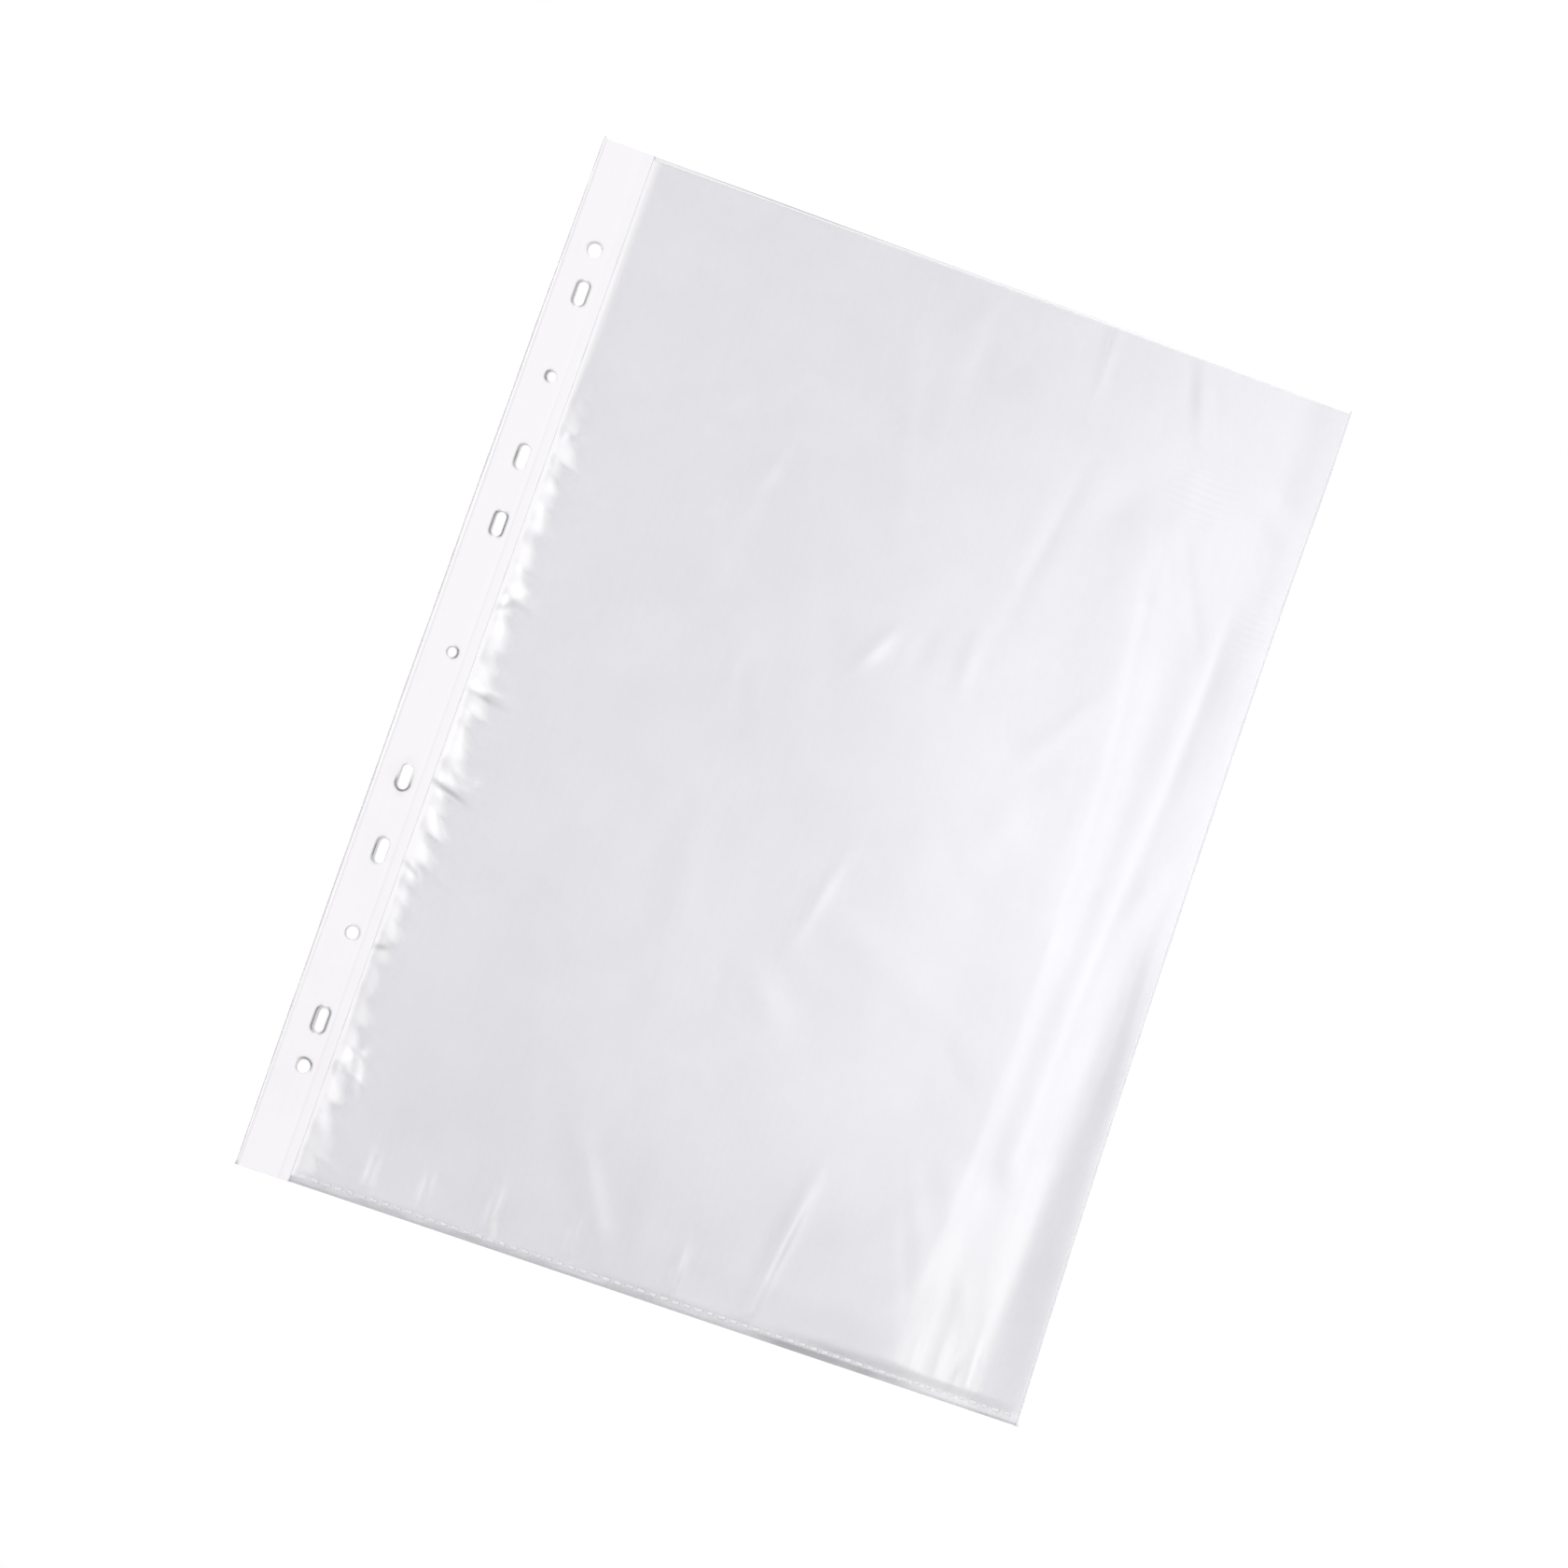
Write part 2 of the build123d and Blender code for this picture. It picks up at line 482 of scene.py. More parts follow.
strip_shape = punched_sheet(strip_low.x, strip_high.x, ())
below = bmesh.ops.extrude_face_region(strip_shape, geom=strip_shape.faces[:])
lowered = [part for part in below["geom"] if isinstance(part, bmesh.types.BMVert)]
bmesh.ops.translate(strip_shape, vec=(0, 0, -strip_thick), verts=lowered)
bmesh.ops.recalc_face_normals(strip_shape, faces=strip_shape.faces)
corners = [edge for edge in strip_shape.edges if is_corner(edge)]
bmesh.ops.bevel(strip_shape, geom=corners, offset=strip_bevel, offset_type="OFFSET", affect="EDGES",
                segments=2, profile=0.5, material=-1)
for vert in strip_shape.verts:
    vert.co.z += table_gap + film + strip_thick + strip_lift(vert.co.y)
for face in strip_shape.faces:
    face.smooth = True
for edge in strip_shape.edges:
    edge.smooth = len(edge.link_faces) != 2 or edge.calc_face_angle(0) < smooth_angle
strip_band = mesh_object("filing_strip_band", strip_shape)
dress(strip_band, white_strip_material())
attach(strip_band, "binding")
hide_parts("filing_strip")

# Front margin: the front film's edge, fused to the top of the strip and punched with it.
# The sealing bar leaves a shallow raised line along it, just inside the strip's inner edge.
# It has sprung in round the holes: they are narrower than the strip's, sit off them and have dark rims of
# painted shade.
rim_wide = 0.75 * mm
# holes by place: off in x and y, half width, how dark the rim's painted shade is, and which way it is
# darkest, in degrees from X, or None for both sides; sizes in millimetres
torn_holes = {
    120: (0.3, -0.2, 2.2, 0.35, 100), 107: (0.8, 0, 1.7, 0.8, None), 82: (0.95, 0, 1.6, 1.0, 180),
    58: (0.9, 0, 1.7, 1.0, 180), 38: (0.85, 0, 1.65, 1.0, None), 0: (0.6, 0, 1.6, 1.0, 0),
    -38: (0.1, 1.3, 1.8, 1.0, -90), -58: (0.9, 0, 1.8, 1.0, 180), -82: (0.8, 0.2, 2.0, 0.35, 20),
    -107: (0.85, 0.1, 1.75, 1.0, None), -120: (0.55, -0.3, 2.1, 1.0, 65),
}


def front_margin_height(x, y):
    """The front margin's height: over the strip, sunk outside it, raised along the bar's line."""
    pressed = np.exp(-((x - weld_x) / (0.8 * mm)) ** 2)
    over = film + strip_thick * ease((x - binding_x) / (strip_low.x - binding_x))
    return back_margin_height(x, y) + over + film + 0.05 * mm * pressed


def torn_rim_shade(x, y):
    """Painted shade round the film's holes, most of all on the side where each hole's rim is darkest."""
    rims = np.zeros_like(x)
    for at_y, (off_x, off_y, radius, shade_depth, toward) in torn_holes.items():
        dx, dy = x / mm - hole_x / mm - off_x, y / mm - at_y - off_y
        past = np.maximum(np.abs(dy) - (slot_stretch / mm if at_y in slots else 0), 0)
        away = np.maximum(np.hypot(dx, past), 0.1)
        if toward is None:
            share = 1.35 * np.abs(dx) / away - 0.2
        else:
            turn = math.radians(toward)
            facing = (dx * math.cos(turn) + dy * math.sin(turn)) / np.maximum(np.hypot(dx, dy), 0.1)
            share = 0.1 + 1.1 * facing
        fade = ease(1.02 - (away - radius) * mm / rim_wide) ** 0.45
        rims = np.maximum(rims, shade_depth * np.clip(share, 0, 1) * fade)
    return rims


def margin_wear_and_shade(x, y):
    """The sealing bar's grey line, which fades towards the mouth, and painted shade over the lower inner
    slot.
    """
    bar_line = 0.09 * np.exp(-((x - weld_x) / (0.3 * mm)) ** 2) * ease((110 * mm - y) / (60 * mm))
    # the mound is painted shade over the lower inner slot
    return bar_line + 0.3 * mound(x, y, hole_x / mm, -36.5, 2.0, 3.5, 0)


front_shape = punched_sheet(binding_x + border_inset, hinge_x, margin_lines, torn_holes, rim_wide)
bow_in(front_shape)
front_edge = sheet_object("front_film_margin", front_shape, front_margin_height)
edge_x, edge_y, _ = points(front_edge).T
# painted shade at the hole rims
paint(front_edge, "cut_edge_and_shade", torn_rim_shade(edge_x, edge_y))
paint(front_edge, "crushed_and_shade", margin_wear_and_shade(edge_x, edge_y))
paint(front_edge, "milky_and_sheen", fused_and_painted_light(front_edge))
dress(front_edge, laminate)
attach(front_edge, "binding")
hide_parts("front_margin")

# Front film: the pocket's front wall, of the same clear film, welded down on three sides.
# Beside the strip the weld has gathered it into puckers, and short folds stand up from the bottom weld.
# Handling has left long soft folds down the far side.
foot_weld = 2.4 * mm
gather = random.Random(7)
# puckers, one below the other: places along the weld, how far the pucker reaches there, and how bright
# its whitening and painted highlight are there
crest_knots = [(90.0, 2.5, 0.3)]
pucker_y = 88.0
while pucker_y > -220:
    tall = gather.uniform(3.9, 11.05)
    least = gather.uniform(4.0, 5.6)
    swell = gather.uniform(0.3, 3.4)
    for down, grown, dull, bright in ((0, 0, 0, 0.4), (0.4, 0.75, 0.4, 1), (0.75, 1, 0.5, 1)):
        crest_knots.append((pucker_y - down * tall, least + grown * swell, gather.uniform(dull, bright)))
    pucker_y -= tall
crest_y, crest_reach, crest_sheen = np.array(crest_knots[::-1]).T
# small crumples over the puckers, as waves: phase, and turn along the weld and away from it
crumples = [
    (gather.uniform(0, 6.3), gather.uniform(0.35, 1.25), gather.uniform(-0.9, 0.9))
    for _ in range(7)
]
# long folds down the film: where the crest runs, its half width to either side, its height, and the half
# width of the painted highlight along its crest and how bright that is; sizes in millimetres
long_folds = (
    (((66, 108), (71, 80), (75, 55), (78.5, 25), (79, -10), (79.5, -50), (76, -80), (74, -148)),
     15, 5.5, 0.55, 4.0, 0.07),
    (((98, 95), (97.5, 60), (97, 35), (93.5, 0), (92, -30), (89.5, -60), (89, -80)),
     7.5, 4.5, 0.46, 3.8, 0.08),
    (((40, -95), (36, -120), (32, -149)), 3, 2, 0.45, 1.6, 0.22),
)
# short ones: middle x and y, half length, half width, turn in degrees and height, in millimetres
folds = (
    (-92, 19, 5, 3, 20, 0.35), (-91, -7, 6, 1.5, -5, 0.4), (-90, -34.5, 7.5, 1.6, -6, 0.45),
    (-91, -119, 3.5, 4.5, 0, 0.5), (-91, -111, 3.5, 2, 60, 0.3), (-92, 68, 4, 2, 30, 0.3),
    (-60, 90, 28, 6, 32, 0.22), (22, -35, 40, 6, -25, 0.2), (8, -62, 9, 5, -40, 0.3),
    (6, 40, 7, 2.6, 60, 0.3), (-19, -129, 20, 4, -60, 0.4), (67, 141, 11, 1.8, -72, -0.11),
    (71, 139, 10, 2.2, -72, 0.1), (42, 142, 11, 1.8, 90, 0.16),
)
faint_folds = [
    (gather.uniform(-90, 108), gather.uniform(-140, 148), gather.uniform(7, 24), gather.uniform(2, 6),
     gather.gauss(90, 28), gather.gauss(0, 0.08))
    for _ in range(150)
]
# upright folds that stand on the bottom weld: middle x, half length and height, in millimetres
foot_folds = (
    (-77.5, 8, 0.45), (-62, 7, 0.45), (-43, 9, 0.45), (-20, 7, 0.45), (10, 7, 0.45), (80, 16, 0.13),
    (87, 12, 0.12), (96.5, 13, 0.2),
)
# painted highlights along creases, which also make the film milky, and painted shade in hard creases and
# over darker patches: middle x and y, half length, half width, turn and depth
painted_highlight_marks = (
    (-91.5, -6.6, 5.5, 1.3, -8, 0.5), (-91, -33.6, 5, 1.3, -12, 0.5), (-86, -32, 1.6, 1.4, 0, 0.4),
    (-89.5, -117, 1.3, 5, 12, 0.5), (-92, -112.6, 3, 1.2, 20, 0.4), (-91.5, 22, 4, 1.3, 35, 0.3),
    (-77, -143, 7, 1.0, 88, 0.25), (-75.5, -147, 3, 0.9, 90, 0.4), (-63, -143, 6, 1.4, 95, 0.16),
    (-42, -142, 7, 1.2, 98, 0.3), (-40.5, -147, 3, 0.9, 95, 0.6), (-20, -144, 6, 1.2, 90, 0.12),
    (10, -144, 6, 1.2, 90, 0.12), (-19, -130, 16, 3, -62, 0.1), (7, 41, 8, 1.6, 62, 0.14),
    (2, -63, 9, 4, -30, 0.08), (27, -75, 7, 4, -40, 0.07), (-57, 89, 20, 4, 27, 0.07),
    (41, 143, 8, 1.3, 95, 0.12), (74, 139, 12, 2.4, -74, 0.12), (96.5, -140, 8, 1.7, 92, 0.12),
    (81, -142, 7, 1.2, 90, 0.15),
)
painted_shade_marks = (
    (-91, -9.3, 5, 0.8, -10, 0.6), (-92.5, -36.6, 6, 0.9, -17, 0.8), (-94, -118.5, 1.2, 3.5, 0, 0.5),
    (-95, 17, 2.4, 1.2, 30, 0.5), (-95.5, -83, 2.2, 0.9, 10, 0.6), (-95, -60, 3, 0.7, -30, 0.5),
    (69, 142, 10, 1.2, -77, 0.09), (92.3, -143, 4.5, 0.9, 82, 0.3), (60, -147.4, 17, 1.5, 0, 0.75),
    (12, -148, 24, 0.8, 0, 0.4), (-68, -148, 26, 0.8, 0, 0.2), (8, -130, 72, 26, 0, 0.2),
    (-60, -105, 25, 30, 0, 0.08), (48, -112, 20, 26, 0, 0.1),
)


def together(x, y, marks):
    """A list of folds or marks added up; each ends with its height or depth."""
    return sum(mark[5] * mound(x, y, *mark[:5]) for mark in marks)


def long_fold(x, y, crest, near, far):
    """A soft fold whose crest runs through some points, fading in and out at its two ends; 1 high."""
    way = np.array(crest).T
    bend = np.polyfit(way[1], way[0], min(3, len(crest) - 1))
    up = np.clip(y / mm, way[1].min(), way[1].max())
    away = x / mm - np.polyval(bend, up)
    away = away / np.where(away < 0, near, far)
    fade = ease((way[1].max() - y / mm) / 30) * ease((y / mm - way[1].min() + 12) / 12)
    return np.exp(-away ** 2) * fade


def gathers(x, y):
    """Puckers along the strip's weld, with ragged crests: how high the film stands, and how milky it is.
    The milkiness is partly the film's whitening and partly painted highlight and shade across each pucker.
    """
    inside = np.maximum(x - hinge_x, 0) / mm
    along = y / mm + 0.6 * inside
    crumple = sum(np.sin(phase + turn * along + lean * inside) for phase, turn, lean in crumples)
    crumple = crumple / len(crumples)
    out = inside / (np.interp(along, crest_y, crest_reach) + 1.2 * crumple)
    # none near the mouth, and weaker below the middle and at the foot
    pull = ease((88 * mm - y) / (30 * mm))
    pull = pull * (1 - 0.45 * np.exp(-((y / mm + 93) / 15) ** 2))
    pull = pull * (1 - 0.4 * ease((-126 * mm - y) / (16 * mm)))
    climb = out / (1 + out ** 8) ** 0.4
    high = (0.5 + 0.22 * crumple) * climb * pull * mm
    # painted highlight and shade: brighter towards each pucker's tip, patchy with the crumples
    shade = 0.75 + 0.3 * np.interp(along, crest_y, crest_sheen) + 0.5 * crumple
    return high, np.clip(shade, 0, 1) * pull / (1 + out ** 9)


def far_tube(from_side, from_foot, y):
    """The far side stands up in a flattened tube towards the bottom corner; 1 high."""
    tall = ease((15 * mm - y) / (70 * mm)) * ease(from_foot / (3 * mm))
    edge = 9.5 * mm + 3 * mm * ease(-y / (150 * mm))
    climb = np.maximum(from_side / edge, 0.01) ** -5 + np.exp(5 * ((from_side - edge) / (24 * mm)) ** 2)
    return tall * climb ** -0.2


def front_height(x, y):
    """The front film's height over the table: welded down on three sides, loose at the mouth."""
    inside = np.maximum(x - hinge_x, 0)
    from_side = np.maximum(side_x - x, 0)
    from_foot = np.maximum(y - bottom_y - foot_weld, 0)
    foot_long = 14 * mm + 30 * mm * ease((x - 62 * mm) / (24 * mm))
    loose = ease(inside / (40 * mm)) * ease(from_side / (16 * mm)) * ease(from_foot / foot_long)
    ripple = np.sin(x / (17 * mm) + 1.7 * np.sin(y / (53 * mm)) + y / (90 * mm))
    rise = (0.7 + 0.1 * ripple) * loose * mm
    rise = rise + gathers(x, y)[0] * ease(from_foot / (2 * mm))
    rise = rise + 1.3 * mm * far_tube(from_side, from_foot, y)
    # folds die out towards the welds, and the faint ones in the tube too
    shut = ease(inside / (3 * mm)) * ease(from_side / (5 * mm)) * ease(from_foot / (4 * mm))
    calm = shut * (1 - 0.9 * mound(x, y, 93, -130, 15, 24, 0))
    for crest, near, far, high, _, _ in long_folds:
        rise = rise + high * mm * long_fold(x, y, crest, near, far) * shut
    rise = rise + together(x, y, faint_folds) * mm * calm + together(x, y, folds) * mm * shut
    standing = [(at_x, bottom_y / mm + 9, long, 1.7, 90, high) for at_x, long, high in foot_folds]
    rise = rise + together(x, y, standing) * mm * ease(from_foot / (3 * mm)) * shut
    welded = film + strip_thick * np.exp(-(inside / (1.5 * mm)) ** 2)
    return back_height(x, y) + welded + rise


def ribs(x, y):
    """The painted sheen of fine ribs across the film near the far top corner; the ribs have no relief."""
    where = mound(x, y, 80, 113, 11, 8, 0) + mound(x, y, 106, 82, 5, 11, 0)
    return where * (1 + np.sin(y / (0.31 * mm) + 2 * np.sin(y / (5 * mm)) + np.sin(x / (4 * mm))))


def tube_gleam(x, y):
    """Painted sheen on the flattened tube's top: milky and faintly streaked, most of all at its foot."""
    start = (71 + 3 * np.sin(y / (16 * mm))) * mm
    stop = (105 - 3.5 * ease(-y / (150 * mm))) * mm
    top = ease((x - start) / (13 * mm)) * ease((stop - x) / (4 * mm)) * ease((-62 * mm - y) / (40 * mm))
    streaked = 0.88 + 0.12 * np.sin((x + 0.25 * y) / (1.9 * mm)) * np.sin(x / (3.1 * mm))
    painted_sheen = 0.2 + 0.15 * ease((-100 * mm - y) / (20 * mm)) + 0.15 * ease((-126 * mm - y) / (14 * mm))
    return painted_sheen * top * streaked


def tube_side_shade(x, y):
    """Painted shade along the tube's outer side, where it turns down to the far weld; wider towards its
    foot.
    """
    middle = (107.5 - 1.5 * ease(-y / (140 * mm)) + 0.5 * np.sin(y / (11 * mm))) * mm
    wide = (1.6 + 5 * ease((-20 * mm - y) / (120 * mm))) * mm
    return 0.33 * np.exp(-((x - middle) / wide) ** 4) * ease((20 * mm - y) / (70 * mm))


def paint_front(piece):
    """Marks where the front film is milky and where highlights are painted on it, where shade is painted on
    it, and its cut edge.
    """
    x, y, _ = points(piece).T
    # milky film and painted highlights: the fused and gathered film, and the painted sheen of ribs, tube,
    # creases and folds
    milky_and_sheen = fused_and_painted_light(piece) + gathers(x, y)[1] + 0.016 * ribs(x, y) + tube_gleam(x, y)
    milky_and_sheen = milky_and_sheen + together(x, y, painted_highlight_marks)
    # painted highlights along the long folds' crests
    for crest, _, _, _, wide, painted_sheen in long_folds:
        milky_and_sheen = milky_and_sheen + painted_sheen * long_fold(x, y, crest, wide, wide)
    paint(piece, "milky_and_sheen", milky_and_sheen * ease((y - bottom_y - 1.4 * mm) / mm))
    # painted shade: along the hem, down the tube's outer side, in hard creases and over darker patches
    paint(piece, "crushed_and_shade", hem_shade(x, y) + tube_side_shade(x, y) + together(x, y, painted_shade_marks))
    paint_cut_edge(piece, lip_y, keen=0.5, wide=0.6 * mm)


left_wall = film_sheet("front_film_left", band_x, middle_x, lip_y, front_height, grid_across=1 * mm)
right_wall = film_sheet("front_film_right", middle_x, side_x, lip_y, front_height, grid_across=1 * mm)
front_band = film_sheet("front_film_hinge", hinge_x, band_x, lip_y, front_height, grid_across=0.5 * mm)
for piece in (left_wall, right_wall, front_band):
    paint_front(piece)
    dress(piece, clear_film)
    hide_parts("front_film")
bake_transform(left_wall)
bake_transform(right_wall)
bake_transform(front_band)

# Side beads: melted film, where a hot wire seals the two films at the binding edge, strip and far side.
# The melt is cloudy, runs a little uneven, and ends in a nub at the foot.
# At the binding edge it is also drawn out into a tip at the mouth.
bead_radius = (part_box("edge_weld")[1].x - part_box("edge_weld")[0].x) / 2
bead_sides, bead_steps = 10, 302
nub_long = 0.9 * mm
tip_long = 1.5 * mm


def bead_material(name, first, second, alpha):
    """Cloudy melted film, in fine drops of two colours."""
    material, tree, skin = blank_material(name)
    link = tree.links.new
    place = node(tree, "ShaderNodeTexCoord", (-900, 0))
    drops = node(tree, "ShaderNodeTexNoise", (-700, 0), in_Scale=700.0, in_Detail=2.0)
    link(place.outputs["Object"], drops.inputs["Vector"])
    link(blend_colour(tree, drops.outputs["Fac"], (-400, 200), first, second), skin.inputs["Base Color"])
    link(span(tree, drops.outputs["Fac"], (-400, 0), 0.22, 0.42, 0.3, 0.7), skin.inputs["Roughness"])
    skin.inputs["Alpha"].default_value = alpha
    return material


def bead(name, line, nub, tip=0.0):
    """A bead up the pocket, whose middle follows line(y), with a nub at its foot and a tip at the mouth."""
    shape = bmesh.new()
    upright = Matrix.Rotation(math.pi / 2, 4, "X")
    bmesh.ops.create_circle(shape, segments=bead_sides, radius=1.0, matrix=upright)
    bmesh.ops.spin(shape, geom=shape.verts[:] + shape.edges[:], cent=(0, 0, 0), axis=(0, 1, 0),
                   dvec=(0, (mouth_y - bottom_y) / bead_steps, 0), angle=0, steps=bead_steps,
                   use_duplicate=False)
    bmesh.ops.holes_fill(shape, edges=[edge for edge in shape.edges if edge.is_boundary], sides=0)
    uneven = random.Random(3)
    phase = [uneven.uniform(0, 6.3) for _ in range(2)]
    for vert in shape.verts:
        y = bottom_y + vert.co.y * (1 + tip / (mouth_y - bottom_y))
        grow = 1 + 0.12 * math.sin(y / (2.1 * mm) + phase[0]) + 0.1 * math.sin(y / (5.3 * mm) + phase[1])
        grow += nub * math.exp(-((y - bottom_y) / nub_long) ** 2)
        if tip:
            grow *= min(1, 0.2 + (mouth_y + tip - y) / tip_long)
        x, z = line(y)
        z = max(z + vert.co.z * bead_radius * grow, table_gap)
        vert.co = Vector((x + vert.co.x * bead_radius * grow, y, z))
    bmesh.ops.recalc_face_normals(shape, faces=shape.faces)
    for face in shape.faces:
        face.smooth = True
    return mesh_object(name, shape)


def edge_line(y):
    """Along the binding edge, which is drawn in and sunk with the films' border."""
    return binding_x + bead_radius + edge_bow(y), border_sink * strip_lift(y) + bead_radius + table_gap


def hinge_line(y):
    """Beside the strip, and lifted with it."""
    return hinge_x, strip_lift(y) + bead_radius + table_gap


def far_line(y):
    """Along the far side, which is drawn in; the bead lies round the back film's edge."""
    return side_x - side_bow(y), back_height(side_x, y) + 0.7 * bead_radius


cut_bead = bead_material("cut_bead", (0.66, 0.66, 0.68), (0.8, 0.8, 0.82), 0.5)
edge_bead = bead("edge_weld_bead", edge_line, nub=1.6, tip=1.0 * mm)
dress(edge_bead, cut_bead)
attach(edge_bead, "binding")
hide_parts("edge_weld")

pale_bead = bead_material("pale_bead", (0.82, 0.82, 0.85), (0.93, 0.93, 0.94), 0.8)
hinge_bead = bead("strip_weld_bead", hinge_line, nub=0.6)
dress(hinge_bead, pale_bead)
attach(hinge_bead, "binding")
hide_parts("strip_weld")

clear_bead = bead_material("clear_bead", (0.9, 0.9, 0.93), (0.97, 0.97, 0.98), 0.3)
far_bead = bead("side_weld_bead", far_line, nub=2.0)
dress(far_bead, clear_bead)
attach(far_bead, "pocket")
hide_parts("side_weld")

# Bottom weld: a row of short dashes that a knurled sealing bar melts through both films.
# Each dash is a small cloudy white pillow of melted film.
dash_low, dash_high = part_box("bottom_weld")
dash_pitch = 3.35 * mm
dash_long = 2.3 * mm
dash_wide = dash_high.y - dash_low.y
dash_thick = 0.3 * mm
dash_bevel = 0.14 * mm
dash_count = round((dash_high.x - dash_low.x - dash_long) / dash_pitch) + 1
dash_y = (dash_low.y + dash_high.y) / 2
dash_shape = bmesh.new()
knurl = random.Random(5)
for k in range(dash_count):
    dash_x = dash_low.x + dash_long / 2 + k * dash_pitch
    dash_z = float(front_height(dash_x, dash_y))
    verts = bmesh.ops.create_cube(dash_shape, size=1.0)["verts"]
    size = (dash_long * knurl.uniform(0.75, 1), dash_wide * knurl.uniform(0.75, 1), dash_thick)
    bmesh.ops.scale(dash_shape, vec=size, verts=verts)
    bmesh.ops.rotate(dash_shape, matrix=Matrix.Rotation(knurl.uniform(-0.12, 0.12), 3, "Z"), verts=verts)
    place = (dash_x, dash_y + knurl.uniform(-0.1, 0.1) * mm, dash_z)
    bmesh.ops.translate(dash_shape, vec=place, verts=verts)
bmesh.ops.bevel(dash_shape, geom=dash_shape.edges[:], offset=dash_bevel, offset_type="OFFSET",
                affect="EDGES", segments=3, profile=0.5, material=-1)
for face in dash_shape.faces:
    face.smooth = True
dashes = mesh_object("bottom_weld_dashes", dash_shape)
dress(dashes, bead_material("white_dash", (0.72, 0.72, 0.73), (0.98, 0.98, 0.98), 0.82))
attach(dashes, "pocket")
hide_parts("bottom_weld")

# Studio: a white table, one soft lamp from the upper left, one overhead at the right, and a camera above.
# The table turns to plain white away from the pocket, and keeps the pocket's shadow near it.
table_half = 6.0
shadow_start, shadow_end = 0.004, 0.03


def white_table_material():
    """Matt white, lit by the lamps near the pocket and plain white to the eye beyond its shadow."""
    material = bpy.data.materials.new("white_table")
    material.use_nodes = True
    tree = material.node_tree
    tree.nodes.clear()
    link = tree.links.new
    out = node(tree, "ShaderNodeOutputMaterial", (900, 0))
    # rays that show the table itself, and not only its light on the film
    path = node(tree, "ShaderNodeLightPath", (-600, 400)).outputs
    seen = maths(tree, (-400, 400), "MAXIMUM", path["Is Camera Ray"], path["Is Glossy Ray"])
    seen = maths(tree, (-200, 400), "MAXIMUM", seen, path["Is Transmission Ray"])
    # how far a place is outside the pocket
    place = node(tree, "ShaderNodeTexCoord", (-900, -200))
    outside = node(tree, "ShaderNodeVectorMath", (-750, -200), operation="ABSOLUTE")
    beyond = node(tree, "ShaderNodeVectorMath", (-600, -200), operation="SUBTRACT")
    beyond.inputs[1].default_value = (side_x, mouth_y, 0)
    sides = node(tree, "ShaderNodeSeparateXYZ", (-450, -200))
    link(place.outputs["Object"], outside.inputs[0])
    link(outside.outputs["Vector"], beyond.inputs[0])
    link(beyond.outputs["Vector"], sides.inputs["Vector"])
    far = maths(tree, (-300, -200), "MAXIMUM", sides.outputs["X"], sides.outputs["Y"])
    away = span(tree, far, (-150, -200), 0.0, 1.0, shadow_start, shadow_end)
    # looks
    matt = node(tree, "ShaderNodeBsdfDiffuse", (0, 200), in_Color=(0.92, 0.92, 0.92, 1))
    glow = node(tree, "ShaderNodeEmission", (0, 0), in_Strength=0.1)
    white = node(tree, "ShaderNodeEmission", (0, -200), in_Strength=1.0)
    near_look = node(tree, "ShaderNodeAddShader", (200, 100))
    look = node(tree, "ShaderNodeMixShader", (400, 0))
    pick = node(tree, "ShaderNodeMixShader", (650, 0))
    link(matt.outputs[0], near_look.inputs[0])
    link(glow.outputs[0], near_look.inputs[1])
    link(away, look.inputs[0])
    link(near_look.outputs[0], look.inputs[1])
    link(white.outputs[0], look.inputs[2])
    link(seen, pick.inputs[0])
    link(matt.outputs[0], pick.inputs[1])
    link(look.outputs[0], pick.inputs[2])
    link(pick.outputs[0], out.inputs["Surface"])
    return material


floor_shape = bmesh.new()
bmesh.ops.create_grid(floor_shape, x_segments=1, y_segments=1, size=table_half)
floor = mesh_object("floor", floor_shape)
floor.data.materials.append(white_table_material())


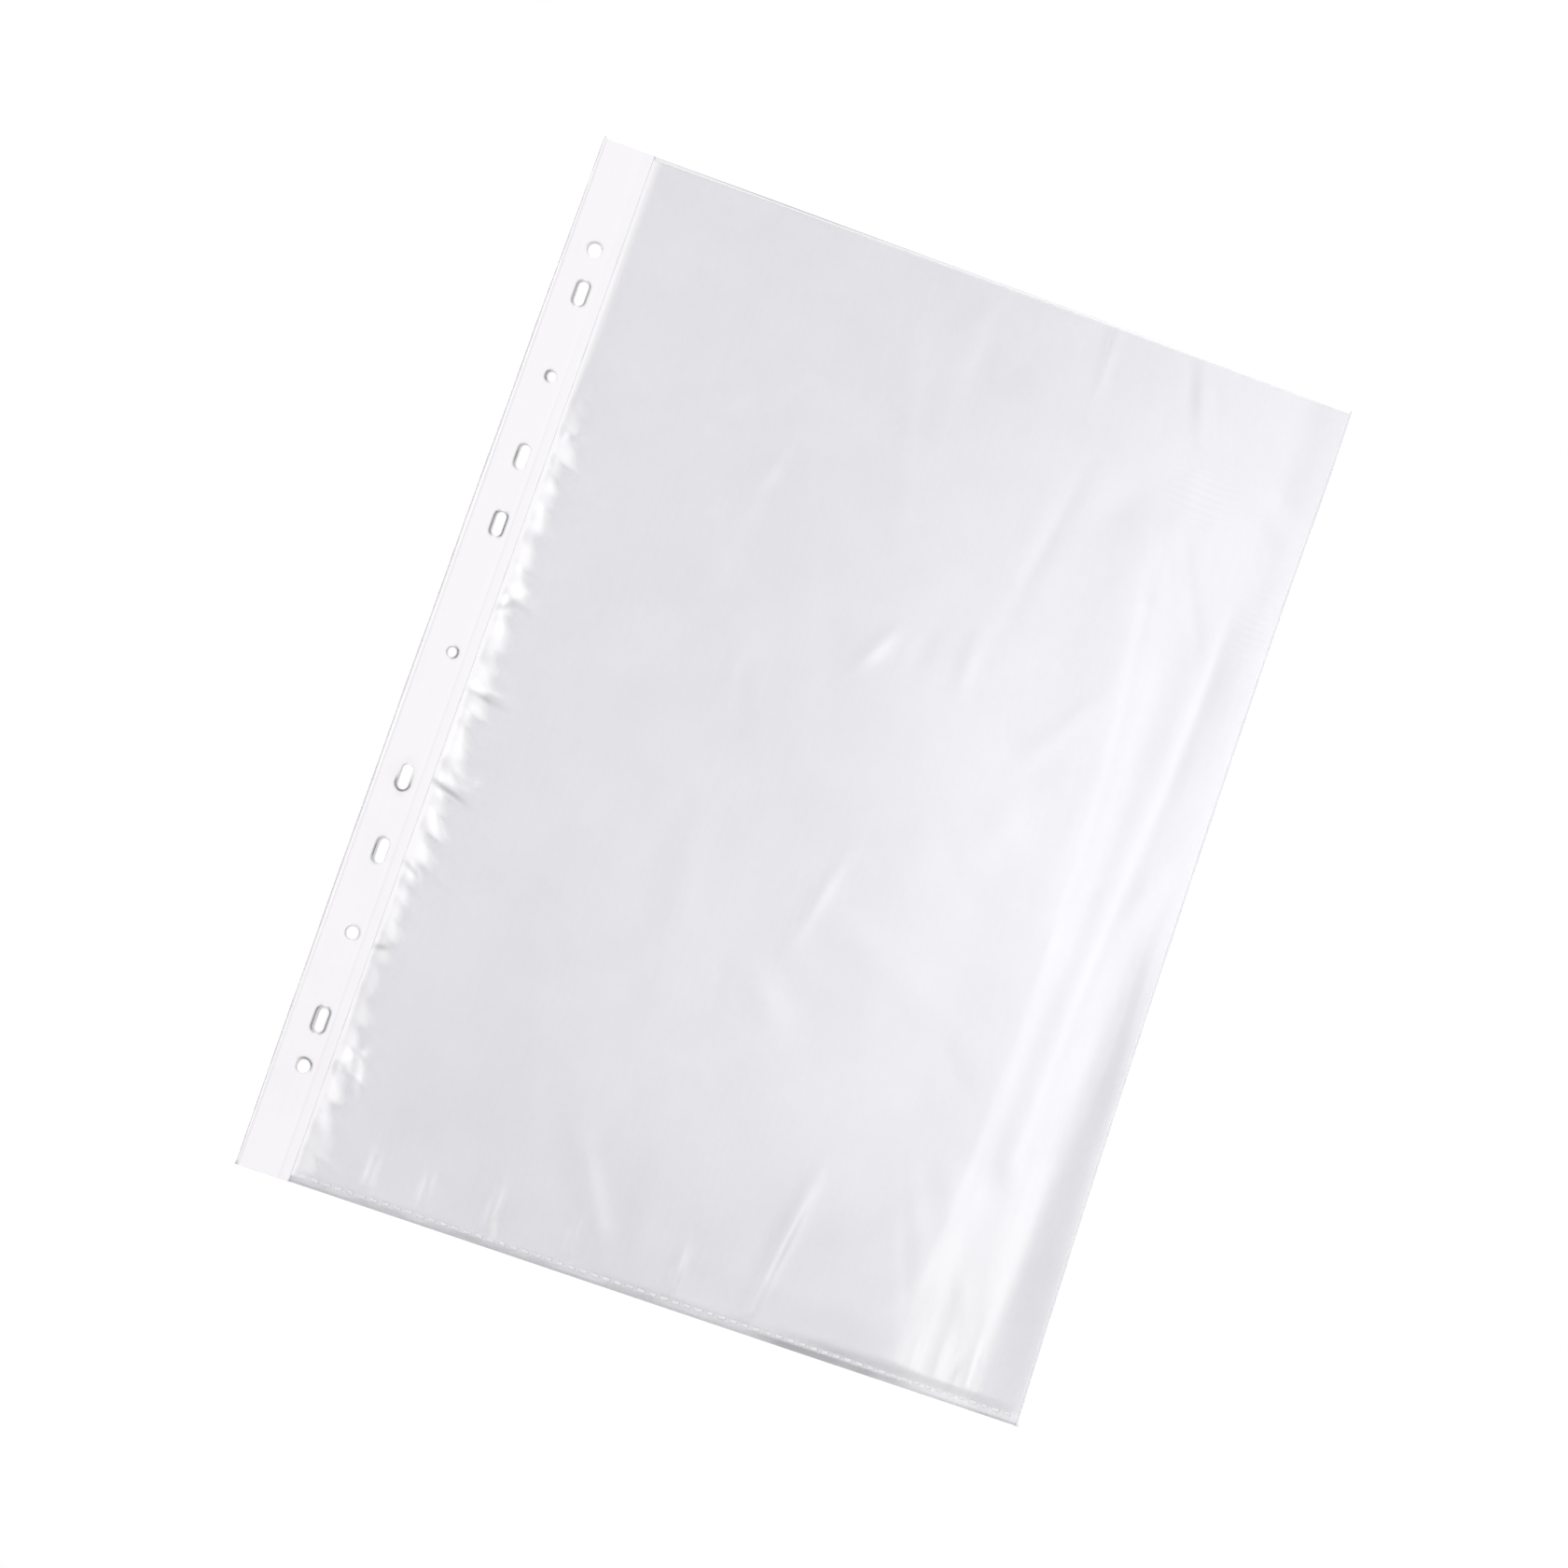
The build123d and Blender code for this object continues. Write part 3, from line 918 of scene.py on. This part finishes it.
def studio_world():
    """A weak even fill light; the camera sees plain white."""
    world = bpy.data.worlds.new("studio")
    world.use_nodes = True
    tree = world.node_tree
    tree.nodes.clear()
    link = tree.links.new
    out = node(tree, "ShaderNodeOutputWorld", (600, 0))
    path = node(tree, "ShaderNodeLightPath", (-200, 200))
    fill = node(tree, "ShaderNodeBackground", (100, 0), in_Strength=0.35, in_Color=(1, 1, 1, 1))
    plain = node(tree, "ShaderNodeBackground", (100, -200), in_Strength=1.0, in_Color=(1, 1, 1, 1))
    pick = node(tree, "ShaderNodeMixShader", (400, 0))
    link(path.outputs["Is Camera Ray"], pick.inputs[0])
    link(fill.outputs[0], pick.inputs[1])
    link(plain.outputs[0], pick.inputs[2])
    link(pick.outputs[0], out.inputs["Surface"])
    return world


bpy.context.scene.world = studio_world()


def softbox(name, outline, place, tilt, wide, high, power):
    """A soft lamp at a place in metres, tilted from straight down by degrees."""
    lamp = bpy.data.lights.new(name, "AREA")
    lamp.shape = outline
    lamp.size = wide
    lamp.size_y = high
    lamp.energy = power
    made = bpy.data.objects.new(name, lamp)
    bpy.context.scene.collection.objects.link(made)
    made.location = place
    made.rotation_euler = [math.radians(angle) for angle in tilt]


softbox("key_softbox", "RECTANGLE", place=(-1.4, 0.1, 2.1), tilt=(-2.7, -33.7, 0), wide=0.6, high=1.9,
        power=31.5)
softbox("sheen_softbox", "ELLIPSE", place=(0.43, 0.1, 1.3), tilt=(0, 15, 0), wide=0.42, high=1.1, power=7.4)

# camera: the photo's width and focal length in its own pixels, and the angles that it was taken from
photo_wide, focal_pixels = 1681, 2600
sensor = 36.0
azimuth, elevation, roll = math.radians(-36.7), math.radians(84.5), math.radians(55.9)
level = math.cos(elevation)
back = Vector((math.sin(azimuth) * level, -math.cos(azimuth) * level, math.sin(elevation)))
right = Vector((math.cos(azimuth), math.sin(azimuth), 0))
up = back.cross(right)
across = math.cos(roll) * right + math.sin(roll) * up
upward = math.cos(roll) * up - math.sin(roll) * right
camera = bpy.data.objects.new("camera", bpy.data.cameras.new("camera"))
bpy.context.scene.collection.objects.link(camera)
camera.matrix_world = Matrix((across, upward, back)).transposed().to_4x4()
camera.location = (-0.0444, -0.056, 0.673)
camera.data.sensor_width = sensor
camera.data.lens = sensor * focal_pixels / photo_wide
camera.data.clip_start = 0.01
bpy.context.scene.camera = camera
bpy.context.scene.view_settings.view_transform = "Standard"
